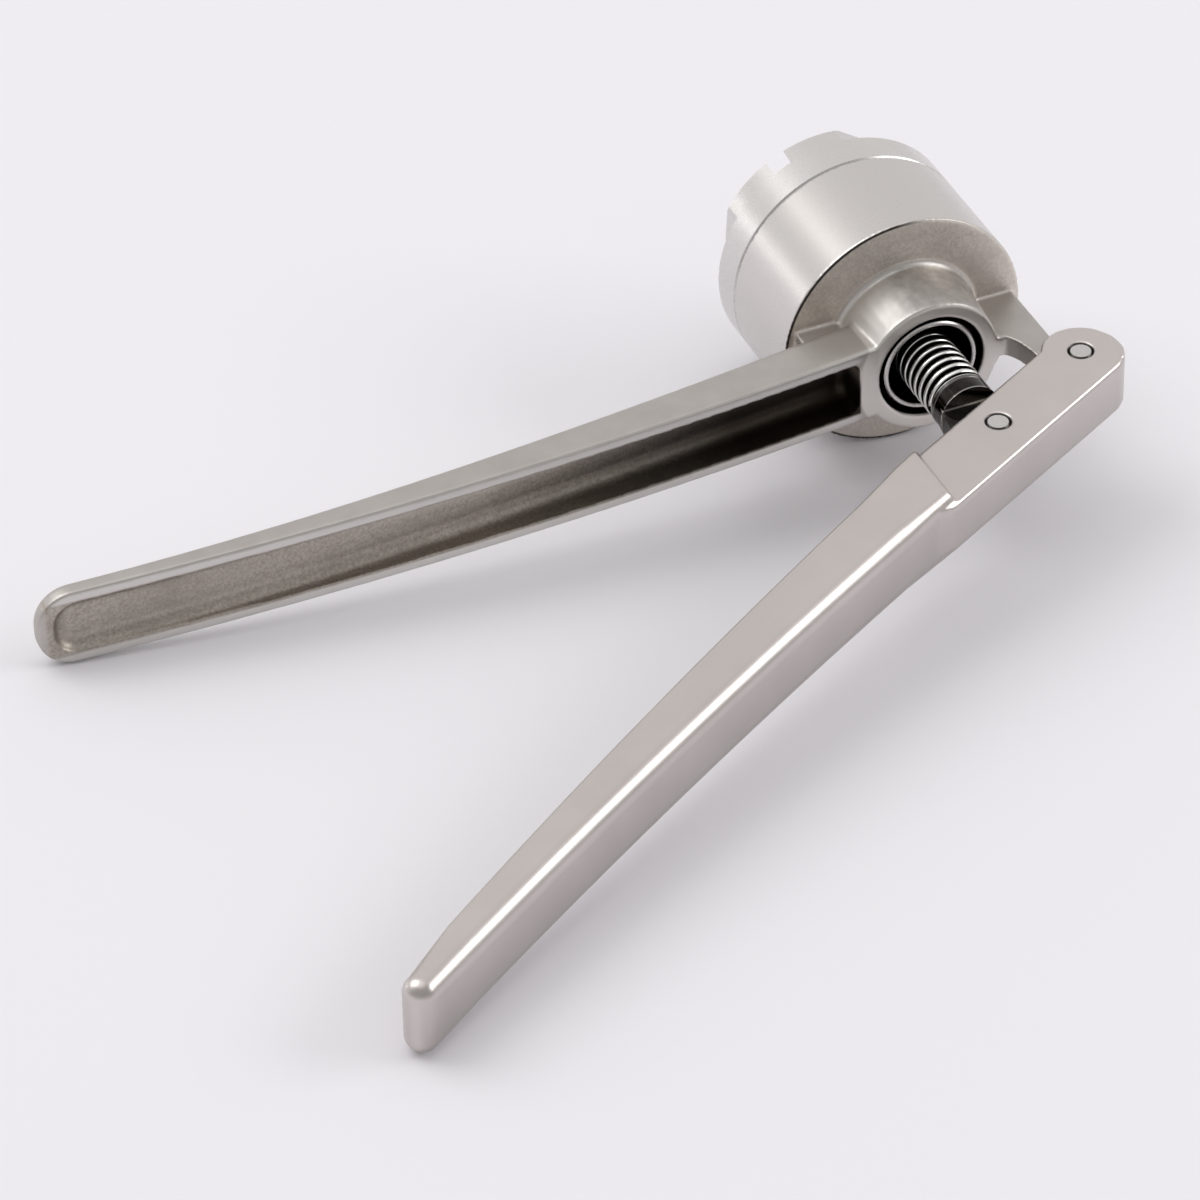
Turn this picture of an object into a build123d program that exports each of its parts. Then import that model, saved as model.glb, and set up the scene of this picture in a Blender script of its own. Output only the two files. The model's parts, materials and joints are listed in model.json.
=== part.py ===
from build123d import *
import os
from math import atan2, cos, degrees, radians, sin, tan

os.makedirs("parts", exist_ok=True)

# Hand crimper for 20 mm aluminium vial seals, handles open, millimetres.
# The head axis is Y and the mouth opens towards +Y. The origin is the centre of the nose's
# front plane. The fixed handle points along -X and the lever's pivot ear stands on the +X side.

# Head
head_radius = 22.0
nose_step = 1.2
nose_length = 5.0
nose_flat_depth = 2.4
mouth_land = 2.0
ring_base_length = 6.7
cup_length = 20.0
cup_wall = 2.6
cup_floor = 5.7
thread_clearance = 0.05
spigot_length = 7.3
spanner_slot_width = 3.7
spanner_slots = 3
spanner_slot_angle = 116.5

# Boss and guide bush behind the head
boss_root_radius = 13.2
boss_root_round = 0.7
boss_end_radius = 12.4
boss_length = 11.4
counterbore_radius = 9.65
counterbore_depth = 4.0
spring_pocket_radius = 7.7
bush_wall = 0.9
bush_nose_wall = 2.9
bush_nose_length = 2.5
bush_seat_thickness = 1.5
bush_set_back = 0.5
fit_gap = 0.02

# Plunger
rod_radius = 4.0
running_gap = 0.05
spigot_radius = 3.0
collar_thickness = 1.2
rod_head_length = 2.9
tongue_thickness = 4.0
tongue_wall = 1.8
spring_length = 23.3
spring_radius = 4.75
spring_wire = 1.15
spring_turns = 11.5
spring_end_gap = 0.1

# Lever and its pins
pivot_x = 21.45
pivot_y = -55.4
lever_arm = 24.15
lever_rest_angle = 28.7
lever_swing = 24.0
pin_radius = 2.0
pin_chamfer = 0.25
pin_sink = 0.15
pin_countersink = 0.35
lever_head_thickness = 10.0
lever_grip_thickness = 14.0
lever_slot_width = 4.3
lever_wall = 2.1
lever_end_radius = 6.7
lever_inner_side = 5.3
lever_outer_side = 7.5
lever_length = 192.5
lever_step_at = 42.6
lever_step_slope = 1.1
grip_outer_side = 6.6
grip_tip_offset = 10.3
grip_tip_width = 5.8
grip_bow = 1.6
edge_radius = 1.0
grip_edge_radius = 2.2

# Fixed handle
handle_thickness = 14.2
handle_wall = 2.1
handle_web = 1.8
handle_tip_x = -161.0
handle_tip_rise = 1.4
handle_tip_round = 6.3
handle_rim_y = -48.8
handle_straight_x = -102.0
handle_turn_x = -118.0
handle_depth = 4.45
handle_swell_x = -60.0
handle_swell_y = -40.1
handle_edge_radius = 1.6
rim_edge_radius = 0.5
handle_channel_end = -13.6
handle_root_round = 1.6
channel_floor_radius = 2.4
gusset_thickness = 11.2
gusset_end_x = -20.0

# Pivot ear
ear_thickness = 4.0
ear_outer_x = 20.5
ear_inner_x = 15.0
ear_boss_radius = 5.0

# Jaws, their carrier and the anvil
jaw_count = 6
jaw_gap = 2.1
jaw_swing = 4.7
jaw_clearance = 0.25
lip_radius = 10.4
lip_thickness = 1.4
lip_set_back = 5.0
anvil_radius = 10.0
anvil_thickness = 5.4
carrier_thickness = 7.1
floor_gap = 0.3
hook_gap = 0.2
hook_thickness = 2.2
hook_depth = 1.5
hook_rim = 1.4
ring_wall = 4.8
jaw_crest_set_back = 11.0
jaw_crest_height = 0.6
jaw_tip_taper = 3.0
ring_spring_wire = 1.3
screw_head_radius = 4.25
screw_head_height = 4.0
screw_radius = 1.6
screw_socket = 3.0
washer_radius = 3.1
washer_thickness = 0.8

# Places along the head axis
nose_radius = head_radius - nose_step
base_front_y = -nose_length
seam_y = base_front_y - ring_base_length
back_y = seam_y - cup_length
floor_y = back_y + cup_floor
boss_end_y = back_y - boss_length
cavity_radius = head_radius - cup_wall
bush_radius = spring_pocket_radius + bush_wall
bush_bore_radius = rod_radius + running_gap
bush_nose_radius = bush_bore_radius + bush_nose_wall
bush_shoulder_y = floor_y - bush_nose_length
spring_seat_y = bush_shoulder_y - bush_seat_thickness
collar_front_y = spring_seat_y - spring_length
collar_back_y = collar_front_y - collar_thickness
rod_head_radius = spring_radius + spring_wire / 2
rod_head_back_y = collar_back_y - rod_head_length
collar_radius = rod_head_radius

# Lever frame: u runs from the pivot to the grip's tip and v points to the outer side.
rest = radians(lever_rest_angle)
lever_plane = Plane(origin=(pivot_x, pivot_y, 0), x_dir=(-cos(rest), -sin(rest), 0), z_dir=(0, 0, 1))
rod_pin_x = pivot_x - lever_arm * cos(rest)
rod_pin_y = pivot_y - lever_arm * sin(rest)


def pin_place(swing_degrees):
    """Where the lever carries the rod pin once it has swung by this angle."""
    angle = rest - radians(swing_degrees)
    return pivot_x - lever_arm * cos(angle), pivot_y - lever_arm * sin(angle)


closed_pin_x, closed_pin_y = pin_place(lever_swing)
middle_pin_y = pin_place(lever_swing / 2)[1]
stroke = closed_pin_y - rod_pin_y
arc_lag = rod_pin_y + stroke / 2 - middle_pin_y

jaw_crest_radius = head_radius - ring_wall
jaw_back_radius = jaw_crest_radius - jaw_crest_height
jaw_tip_radius = jaw_crest_radius - jaw_tip_taper
ring_spring_radius = jaw_back_radius - ring_spring_wire / 2 - 0.2

# The crests of the jaws follow the ring's taper with an even clearance over the whole stroke.
carrier_back_y = floor_y + floor_gap
carrier_front_y = carrier_back_y + carrier_thickness
anvil_front_y = carrier_front_y + anvil_thickness
jaw_tip_y = -lip_set_back
groove_back_y = carrier_back_y + hook_rim
groove_front_y = groove_back_y + hook_thickness + 2 * hook_gap
hub_radius = lip_radius + 1.8
groove_radius = hub_radius - hook_depth - hook_gap
hook_y = (groove_back_y + groove_front_y) / 2
hinge_radius = hub_radius - 0.4
jaw_back_y = hook_y - 2.4
crest_y = -jaw_crest_set_back
swing = radians(jaw_swing)
crest_closing = (crest_y - hook_y) * swing
crest_travel = stroke + (jaw_crest_radius - hinge_radius) * swing
taper = crest_closing / crest_travel
pocket_radius = anvil_radius + (anvil_front_y - hook_y) * swing + 0.4
jaw_hub_radius = hub_radius + (carrier_front_y - hook_y) * swing + jaw_clearance


def taper_radius(y):
    """Radius of the ring's inner taper at a place along the head axis."""
    return jaw_crest_radius + jaw_clearance - taper * (y - crest_y)


# Fixed handle: a tapered channel, open towards the lever, rounded at its tip
with BuildPart() as fixed_handle:
    with BuildSketch(Plane.XY):
        with BuildLine():
            outer_y = handle_rim_y + handle_depth
            rim = Spline(
                (handle_tip_x, handle_rim_y + handle_tip_rise),
                (handle_turn_x, handle_rim_y),
                (handle_straight_x, handle_rim_y),
                (-9.0, boss_end_y + 0.1),
            )
            outer = Spline(
                (handle_tip_x, outer_y + 0.5),
                (handle_turn_x - 6.0, outer_y),
                (handle_swell_x, handle_swell_y),
                (-9.0, back_y - 2.2),
            )
            Line(rim @ 1, outer @ 1)
            Line(outer @ 0, rim @ 0)
        make_face()
    extrude(amount=handle_thickness / 2, both=True)
    fillet(fixed_handle.edges().filter_by(Axis.Y).group_by(Axis.X)[0], radius=handle_tip_round)
    fillet(fixed_handle.edges().filter_by(lambda e: e.length > 120).sort_by(Axis.Y)[-2:], radius=handle_edge_radius)
    fillet(fixed_handle.edges().filter_by(lambda e: e.length > 120).sort_by(Axis.Y)[:2], radius=rim_edge_radius)

with BuildPart() as handle_channel:
    with BuildSketch(Plane.XY):
        with BuildLine():
            tip_x = handle_tip_x + handle_wall + 0.5
            floor_tip_y = outer_y + 0.5 - handle_web
            floor_line = Spline(
                (tip_x, floor_tip_y),
                (handle_turn_x - 6.0, outer_y - handle_web),
                (handle_swell_x, handle_swell_y - handle_web),
                (handle_channel_end, back_y - 5.2),
            )
            Polyline(
                floor_line @ 1,
                (handle_channel_end, handle_rim_y - 10),
                (tip_x, handle_rim_y - 10),
                floor_line @ 0,
            )
        make_face()
    extrude(amount=handle_thickness / 2 - handle_wall, both=True)
    fillet(handle_channel.edges().filter_by(Axis.Y).group_by(Axis.X)[0], radius=handle_tip_round - handle_wall)
    floor_edges = handle_channel.edges().filter_by(lambda e: e.length > 60).group_by(Axis.Y)[-1]
    fillet(floor_edges, radius=channel_floor_radius)
    fillet(handle_channel.edges().filter_by(Axis.Y).group_by(Axis.X)[-1], radius=handle_root_round)

# Pivot ear: a flat plate that stands off the head's back face and ends in a round eye
with BuildPart() as pivot_ear:
    with BuildSketch(Plane.XY):
        with BuildLine():
            Polyline(
                (0, back_y + 1),
                (ear_outer_x, back_y + 1),
                (ear_outer_x, pivot_y + ear_boss_radius + 1.5),
                (pivot_x + ear_boss_radius, pivot_y),
                (pivot_x, pivot_y),
                (pivot_x - ear_boss_radius, pivot_y),
                (ear_inner_x + 0.9, boss_end_y - 5.5),
                (ear_inner_x, boss_end_y - 2.0),
                (ear_inner_x - 1.2, boss_end_y),
                (0, boss_end_y),
                close=True,
            )
        make_face()
        with Locations((pivot_x, pivot_y)):
            Circle(ear_boss_radius)
    extrude(amount=ear_thickness / 2, both=True)

# Body casting: the cup of the head, the boss, the ear and the fixed handle in one piece
with BuildPart() as body_casting:
    with BuildSketch(Plane.XY):
        with BuildLine():
            Polyline(
                (0, back_y + 0.5 * cup_floor),
                (head_radius, back_y + 0.5 * cup_floor),
                (head_radius, back_y),
                (boss_root_radius + boss_root_round, back_y),
                (boss_root_radius, back_y - boss_root_round),
                (boss_end_radius, boss_end_y),
                (0, boss_end_y),
                close=True,
            )
        make_face()
    revolve(axis=Axis.Y)
    add(fixed_handle.part)
    add(pivot_ear.part)
    with Locations(((gusset_end_x - boss_end_radius / 2) / 2, back_y - 2.6, 0)):
        Box(-gusset_end_x - boss_end_radius / 2, 5.8, gusset_thickness)
    with BuildSketch(Plane.XY):
        with BuildLine():
            Polyline(
                (0, floor_y - 1),
                (0, seam_y),
                (head_radius, seam_y),
                (head_radius, back_y + 0.4 * cup_floor),
                (0, back_y + 0.4 * cup_floor),
                close=True,
            )
        make_face()
    revolve(axis=Axis.Y)
    with BuildSketch(Plane.XY):
        with BuildLine():
            Polyline(
                (0, seam_y + 1),
                (cavity_radius, seam_y + 1),
                (cavity_radius, floor_y),
                (bush_nose_radius + fit_gap, floor_y),
                (bush_nose_radius + fit_gap, bush_shoulder_y),
                (bush_radius + fit_gap, bush_shoulder_y),
                (bush_radius + fit_gap, boss_end_y + counterbore_depth),
                (counterbore_radius, boss_end_y + counterbore_depth),
                (counterbore_radius, boss_end_y - 1),
                (0, boss_end_y - 1),
                close=True,
            )
        make_face()
    revolve(axis=Axis.Y, mode=Mode.SUBTRACT)
    add(handle_channel.part, mode=Mode.SUBTRACT)
    with Locations((pivot_x, pivot_y, 0)):
        Hole(radius=pin_radius + running_gap)
body_casting.part.label = "body_casting"
export_step(body_casting.part, "parts/body_casting.step")

# Front ring: screwed into the cup, castellated for a pin spanner, tapered inside for the jaws
with BuildPart() as front_ring:
    with BuildSketch(Plane.XY):
        with BuildLine():
            spigot_y = seam_y - spigot_length
            spigot_radius_out = cavity_radius - thread_clearance
            taper_start_y = crest_y - 2.0
            mouth_radius = taper_radius(-mouth_land)
            Polyline(
                (taper_radius(taper_start_y), spigot_y),
                (spigot_radius_out, spigot_y),
                (spigot_radius_out, seam_y),
                (head_radius, seam_y),
                (head_radius, base_front_y),
                (nose_radius, base_front_y),
                (nose_radius, 0),
                (mouth_radius, 0),
                (mouth_radius, -mouth_land),
                (taper_radius(taper_start_y), taper_start_y),
                close=True,
            )
        make_face()
    revolve(axis=Axis.Y)
    rims = front_ring.edges().filter_by(GeomType.CIRCLE)
    chamfer(rims.filter_by(lambda e: abs(e.radius - head_radius) < 0.01), length=0.35)
    chamfer(rims.filter_by(lambda e: abs(e.radius - nose_radius) < 0.01).sort_by(Axis.Y)[-1], length=0.5)
    with BuildSketch(Plane.XZ.offset(nose_length)):
        with PolarLocations(nose_radius, spanner_slots, start_angle=spanner_slot_angle):
            Rectangle(2 * (nose_radius - mouth_radius) + 4, spanner_slot_width)
    extrude(amount=-nose_length - 1, mode=Mode.SUBTRACT)
    with BuildSketch(Plane.XZ.offset(nose_length)):
        with PolarLocations(nose_radius, spanner_slots, start_angle=spanner_slot_angle + 180 / spanner_slots):
            Rectangle(2 * nose_flat_depth, 2 * nose_radius)
    extrude(amount=-nose_length - 1, mode=Mode.SUBTRACT)
front_ring.part.label = "front_ring"
export_step(front_ring.part, "parts/front_ring.step")

# Guide bush: pressed into the boss, guides the rod and holds the return spring
with BuildPart() as guide_bush:
    with BuildSketch(Plane.XY):
        with BuildLine():
            bush_end_y = boss_end_y + bush_set_back
            Polyline(
                (bush_bore_radius, floor_y),
                (bush_nose_radius, floor_y),
                (bush_nose_radius, bush_shoulder_y),
                (bush_radius, bush_shoulder_y),
                (bush_radius, bush_end_y),
                (spring_pocket_radius, bush_end_y),
                (spring_pocket_radius, spring_seat_y),
                (bush_bore_radius, spring_seat_y),
                close=True,
            )
        make_face()
    revolve(axis=Axis.Y)
    mouth = guide_bush.edges().filter_by(GeomType.CIRCLE).group_by(Axis.Y)[0]
    chamfer(mouth, length=0.25)
guide_bush.part.label = "guide_bush"
export_step(guide_bush.part, "parts/guide_bush.step")

# Push rod: a shaft with a round head and a flat tongue, slotted for the rod pin
with BuildPart() as push_rod:
    with BuildSketch(Plane.XY):
        with BuildLine():
            Polyline(
                (0, carrier_front_y - 0.2),
                (spigot_radius, carrier_front_y - 0.2),
                (spigot_radius, carrier_back_y),
                (rod_radius, carrier_back_y),
                (rod_radius, collar_back_y),
                (rod_head_radius, collar_back_y),
                (rod_head_radius, rod_head_back_y),
                (0, rod_head_back_y),
                close=True,
            )
        make_face()
    revolve(axis=Axis.Y)
    slot_x = (rod_pin_x + closed_pin_x) / 2
    slot_y = rod_pin_y - arc_lag / 2
    slot_travel = rod_pin_x - closed_pin_x + 0.3
    slot_half_height = pin_radius + arc_lag / 2 + 0.15
    tongue_radius = slot_half_height + tongue_wall
    with BuildSketch(Plane.XY):
        with BuildLine():
            Polyline(
                (rod_head_radius - 0.3, rod_head_back_y + 1),
                (slot_x + slot_travel / 2 + tongue_radius, slot_y),
                (slot_x - slot_travel / 2 - tongue_radius, slot_y),
                (-rod_head_radius + 0.3, rod_head_back_y + 1),
                close=True,
            )
        make_face()
        with Locations((slot_x, slot_y)):
            SlotCenterToCenter(slot_travel, 2 * tongue_radius)
            SlotCenterToCenter(slot_travel, 2 * slot_half_height, mode=Mode.SUBTRACT)
    extrude(amount=tongue_thickness / 2, both=True)
    with Locations(Plane(origin=(0, carrier_front_y - 0.2, 0), z_dir=(0, 1, 0))):
        Hole(radius=screw_radius + fit_gap, depth=9)
push_rod.part.label = "push_rod"
export_step(push_rod.part, "parts/push_rod.step")

# Spring collar: a washer that carries the spring's rear end on the rod's head
with BuildPart() as spring_collar:
    with BuildSketch(Plane.XZ.offset(-collar_back_y)):
        Circle(collar_radius)
        Circle(rod_radius + fit_gap, mode=Mode.SUBTRACT)
    extrude(amount=-collar_thickness)
    collar_rims = spring_collar.edges().filter_by(GeomType.CIRCLE).sort_by(SortBy.RADIUS)
    chamfer(collar_rims[-2:], length=0.2)
spring_collar.part.label = "spring_collar"
export_step(spring_collar.part, "parts/spring_collar.step")

# Return spring: open-coiled, between the bush and the collar
with BuildPart() as return_spring:
    with BuildLine():
        coil_height = spring_length - spring_wire - 2 * spring_end_gap
        coil_start_y = spring_seat_y - spring_end_gap - spring_wire / 2
        coil = Helix(
            pitch=coil_height / spring_turns,
            height=coil_height,
            radius=spring_radius,
            center=(0, coil_start_y, 0),
            direction=(0, -1, 0),
        )
    with BuildSketch(Plane(origin=coil @ 0, z_dir=coil % 0)):
        Circle(spring_wire / 2)
    sweep(is_frenet=True)
return_spring.part.label = "return_spring"
export_step(return_spring.part, "parts/return_spring.step")

# Lever: a forked head with an eye round the pivot, and a thicker channel-section grip
outward = Axis(lever_plane.origin, lever_plane.y_dir)
along = Axis(lever_plane.origin, lever_plane.x_dir)
grip_inner_tip = (lever_length - grip_tip_width / 2, grip_tip_offset - grip_tip_width / 2)
grip_outer_tip = (lever_length - grip_tip_width / 2, grip_tip_offset + grip_tip_width / 2)


def step_place(v):
    """How far along the lever the grip's step lies; it runs parallel to the head axis."""
    return lever_step_at + v * tan(rest)


def bowed(start, end):
    """Points of a gentle curve from start to end, bowed towards the fixed handle."""
    return start, ((start[0] + end[0]) / 2, (start[1] + end[1]) / 2 - grip_bow), end


with BuildPart() as lever_grip:
    with BuildSketch(lever_plane):
        with BuildLine():
            grip_inner = Spline(*bowed((step_place(-lever_inner_side), -lever_inner_side), grip_inner_tip))
            grip_outer = Spline(*bowed((step_place(grip_outer_side), grip_outer_side), grip_outer_tip))
            Line(grip_inner @ 0, grip_outer @ 0)
            Line(grip_inner @ 1, grip_outer @ 1)
        make_face()
    extrude(amount=lever_grip_thickness / 2, both=True)
    step_edges = lever_grip.edges().filter_by(GeomType.LINE).filter_by(Axis.Z, reverse=True).sort_by(along)
    chamfer(step_edges[:2], length=lever_step_slope)
    fillet(lever_grip.edges().filter_by(lambda e: e.length > 60).sort_by(outward)[-2:], radius=grip_edge_radius)
    fillet(lever_grip.edges().filter_by(lambda e: e.length > 60).sort_by(outward)[:2], radius=edge_radius)

with BuildPart() as grip_tip:
    with BuildSketch(lever_plane):
        with Locations((lever_length - grip_tip_width / 2, grip_tip_offset)):
            Circle(grip_tip_width / 2)
    extrude(amount=lever_grip_thickness / 2, both=True)
    fillet(grip_tip.edges().filter_by(GeomType.CIRCLE), radius=grip_edge_radius)

with BuildPart() as lever_channel:
    with BuildSketch(lever_plane):
        with BuildLine():
            channel_start = lever_step_at + 6.0
            channel_end = lever_length - grip_tip_width
            channel_floor = Spline(
                *bowed((channel_start, grip_outer_side - lever_wall), (channel_end, grip_outer_tip[1] - lever_wall))
            )
            Polyline(
                channel_floor @ 1,
                (channel_end, -20),
                (channel_start, -20),
                channel_floor @ 0,
            )
        make_face()
    extrude(amount=lever_grip_thickness / 2 - lever_wall, both=True)

with BuildPart() as lever_handle:
    with BuildSketch(lever_plane):
        Circle(lever_end_radius)
        with BuildLine():
            Polyline(
                (0, -lever_inner_side),
                (lever_step_at + 8, -lever_inner_side),
                (lever_step_at + 8, grip_outer_side),
                (step_place(lever_outer_side), lever_outer_side),
                (-0.45 * lever_end_radius, lever_outer_side),
                (-0.95 * lever_end_radius, 0.3 * lever_end_radius),
                (0, 0),
                close=True,
            )
        make_face()
    extrude(amount=lever_head_thickness / 2, both=True)
    head_edges = lever_handle.edges().filter_by(lambda e: e.length > 40)
    fillet(head_edges.group_by(outward)[-1], radius=edge_radius)
    add(lever_grip.part)
    add(grip_tip.part)
    add(lever_channel.part, mode=Mode.SUBTRACT)
    slot_floor = lever_outer_side - lever_wall
    with BuildSketch(lever_plane):
        Circle(slot_floor)
        with BuildLine():
            Polyline(
                (-slot_floor, 0),
                (0, 0),
                (0, slot_floor),
                (channel_start + 1, slot_floor),
                (channel_start + 1, -20),
                (-slot_floor, -20),
                close=True,
            )
        make_face()
    extrude(amount=lever_slot_width / 2, both=True, mode=Mode.SUBTRACT)
    with BuildSketch(lever_plane):
        with Locations((0, 0), (lever_arm, 0)):
            Circle(pin_radius + fit_gap)
    extrude(amount=lever_head_thickness, both=True, mode=Mode.SUBTRACT)
    hole_rims = lever_handle.edges().filter_by(GeomType.CIRCLE).filter_by(
        lambda e: abs(e.radius - pin_radius - fit_gap) < 0.001
        and abs(abs(e.arc_center.Z) - lever_head_thickness / 2) < 0.001
    )
    chamfer(hole_rims, length=pin_countersink)
lever_handle.part.label = "lever_handle"
export_step(lever_handle.part, "parts/lever_handle.step")

# The two pins, each chamfered at both ends and set just below the lever's faces
for pin_name, pin_x, pin_y in (
    ("pivot_pin", pivot_x, pivot_y),
    ("rod_pin", rod_pin_x, rod_pin_y),
):
    with BuildPart() as pin:
        with BuildSketch():
            with Locations((pin_x, pin_y)):
                Circle(pin_radius)
        extrude(amount=lever_head_thickness / 2 - pin_sink, both=True)
        chamfer(pin.edges().filter_by(GeomType.CIRCLE), length=pin_chamfer)
    pin.part.label = pin_name
    export_step(pin.part, f"parts/{pin_name}.step")

# Jaw carrier: a hub on the rod's spigot, grooved for the hooks of the jaws
with BuildPart() as jaw_carrier:
    with BuildSketch(Plane.XY):
        with BuildLine():
            Polyline(
                (spigot_radius + fit_gap, carrier_back_y),
                (hub_radius, carrier_back_y),
                (hub_radius, groove_back_y),
                (groove_radius, groove_back_y),
                (groove_radius, groove_front_y),
                (hub_radius, groove_front_y),
                (hub_radius, carrier_front_y),
                (spigot_radius + fit_gap, carrier_front_y),
                close=True,
            )
        make_face()
    revolve(axis=Axis.Y)
jaw_carrier.part.label = "jaw_carrier"
export_step(jaw_carrier.part, "parts/jaw_carrier.step")

# Anvil: presses on the vial's seal, held to the rod by a socket screw
with BuildPart() as anvil:
    with BuildSketch(Plane.XY):
        with BuildLine():
            washer_seat_y = anvil_front_y - screw_head_height - washer_thickness - 0.3
            Polyline(
                (screw_radius + 0.2, carrier_front_y),
                (anvil_radius, carrier_front_y),
                (anvil_radius, anvil_front_y - 0.6),
                (anvil_radius - 0.6, anvil_front_y),
                (screw_head_radius + 0.25, anvil_front_y),
                (screw_head_radius + 0.25, washer_seat_y),
                (screw_radius + 0.2, washer_seat_y),
                close=True,
            )
        make_face()
    revolve(axis=Axis.Y)
anvil.part.label = "anvil"
export_step(anvil.part, "parts/anvil.step")

with BuildPart() as lock_washer:
    with BuildSketch(Plane.XZ.offset(-washer_seat_y)):
        Circle(washer_radius)
        Circle(screw_radius + 0.1, mode=Mode.SUBTRACT)
    extrude(amount=-washer_thickness)
lock_washer.part.label = "lock_washer"
export_step(lock_washer.part, "parts/lock_washer.step")

with BuildPart() as anvil_screw:
    with BuildSketch(Plane.XY):
        with BuildLine():
            head_seat_y = washer_seat_y + washer_thickness
            screw_end_y = carrier_front_y - 8.0
            Polyline(
                (0, screw_end_y),
                (screw_radius, screw_end_y),
                (screw_radius, head_seat_y),
                (screw_head_radius, head_seat_y),
                (screw_head_radius, head_seat_y + screw_head_height - 0.3),
                (screw_head_radius - 0.3, head_seat_y + screw_head_height),
                (0, head_seat_y + screw_head_height),
                close=True,
            )
        make_face()
    revolve(axis=Axis.Y)
    with BuildSketch(Plane.XZ.offset(-head_seat_y - screw_head_height)):
        RegularPolygon(radius=screw_socket / 2, side_count=6, major_radius=False)
    extrude(amount=screw_head_height / 2, mode=Mode.SUBTRACT)
anvil_screw.part.label = "anvil_screw"
export_step(anvil_screw.part, "parts/anvil_screw.step")

# Jaws: a hooked collet ring cut into equal segments
with BuildPart() as jaw_ring:
    with BuildSketch(Plane.XY):
        with BuildLine():
            spring_groove_y = hook_y - 0.6
            spring_groove_radius = ring_spring_radius - ring_spring_wire / 2 - 0.3
            lip_back_y = jaw_tip_y - lip_thickness
            Polyline(
                (groove_radius + hook_gap, hook_y - hook_thickness / 2),
                (jaw_hub_radius, hook_y - hook_thickness / 2),
                (jaw_hub_radius, jaw_back_y),
                (jaw_back_radius, jaw_back_y),
                (jaw_back_radius, spring_groove_y - 1.2),
                (spring_groove_radius, spring_groove_y - 1.2),
                (spring_groove_radius, spring_groove_y + 1.2),
                (jaw_back_radius, spring_groove_y + 1.2),
                (jaw_back_radius, crest_y - 3.0),
                (jaw_crest_radius, crest_y - 0.5),
                (jaw_crest_radius, crest_y),
                (jaw_tip_radius, jaw_tip_y),
                (lip_radius, jaw_tip_y),
                (lip_radius, lip_back_y),
                (pocket_radius, lip_back_y - 0.8),
                (pocket_radius, carrier_front_y + 1.6),
                (jaw_hub_radius, carrier_front_y + 0.4),
                (jaw_hub_radius, hook_y + hook_thickness / 2),
                (groove_radius + hook_gap, hook_y + hook_thickness / 2),
                close=True,
            )
        make_face()
    revolve(axis=Axis.Y)
    with BuildSketch(Plane.XZ.offset(-jaw_tip_y - 1)):
        with PolarLocations(jaw_crest_radius / 2 + 2, jaw_count, start_angle=180 / jaw_count):
            Rectangle(jaw_crest_radius + 6, jaw_gap)
    extrude(amount=30, both=True, mode=Mode.SUBTRACT)



def angle_round_head(segment):
    """Angle of a jaw round the head axis, from the ear's side."""
    return round(degrees(atan2(segment.center().Z, segment.center().X))) % 360


for number, segment in enumerate(sorted(jaw_ring.solids(), key=angle_round_head), start=1):
    with BuildPart() as jaw:
        add(segment)
    jaw.part.label = f"jaw_{number}"
    export_step(jaw.part, f"parts/jaw_{number}.step")

# Ring spring: sits in the groove round the tails of the jaws and rocks their tips open
with BuildPart() as jaw_ring_spring:
    with BuildSketch(Plane.XY):
        with Locations((ring_spring_radius, spring_groove_y)):
            Circle(ring_spring_wire / 2)
    revolve(axis=Axis.Y)
jaw_ring_spring.part.label = "jaw_ring_spring"
export_step(jaw_ring_spring.part, "parts/jaw_ring_spring.step")

print("stroke", round(stroke, 4), "metres per radian", round(stroke / radians(lever_swing) / 1000, 6))
print("rod pin", round(rod_pin_x, 3), round(rod_pin_y, 3))
print("jaw hinge radius", round(hinge_radius, 3), "at", round(hook_y, 3))
print("mouth radius", round(mouth_radius, 4))
print("lip from", round(lip_back_y, 3), "to", round(jaw_tip_y, 3), "anvil face", round(anvil_front_y, 3))
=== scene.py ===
import json
import math

import bmesh
import bpy
from mathutils import Matrix, Vector

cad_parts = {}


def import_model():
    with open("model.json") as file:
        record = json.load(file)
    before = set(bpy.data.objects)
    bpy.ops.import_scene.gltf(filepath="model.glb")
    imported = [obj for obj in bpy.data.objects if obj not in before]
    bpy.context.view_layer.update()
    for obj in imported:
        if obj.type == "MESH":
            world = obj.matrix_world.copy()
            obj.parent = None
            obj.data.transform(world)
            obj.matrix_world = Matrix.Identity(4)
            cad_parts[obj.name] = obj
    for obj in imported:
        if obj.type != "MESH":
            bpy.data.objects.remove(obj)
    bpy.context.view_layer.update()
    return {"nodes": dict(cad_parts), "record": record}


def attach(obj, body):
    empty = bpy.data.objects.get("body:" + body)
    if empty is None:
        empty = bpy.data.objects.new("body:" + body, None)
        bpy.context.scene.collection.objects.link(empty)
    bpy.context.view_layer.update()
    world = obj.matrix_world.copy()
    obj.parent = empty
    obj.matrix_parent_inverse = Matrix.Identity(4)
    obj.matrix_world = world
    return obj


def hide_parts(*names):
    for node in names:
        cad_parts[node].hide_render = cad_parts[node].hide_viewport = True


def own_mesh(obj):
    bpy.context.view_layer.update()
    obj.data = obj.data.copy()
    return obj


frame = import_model()
nodes = frame["nodes"]
bodies = frame["record"]["behaviour"]["bodies"]
body_of_node = {node: body for body, members in bodies.items() for node in members}
slot_of_node = {entry["node"]: entry["material_slot"] for entry in frame["record"]["subparts"]}

# Lengths are in metres and angles in degrees, except the camera's lens and sensor in millimetres

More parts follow.
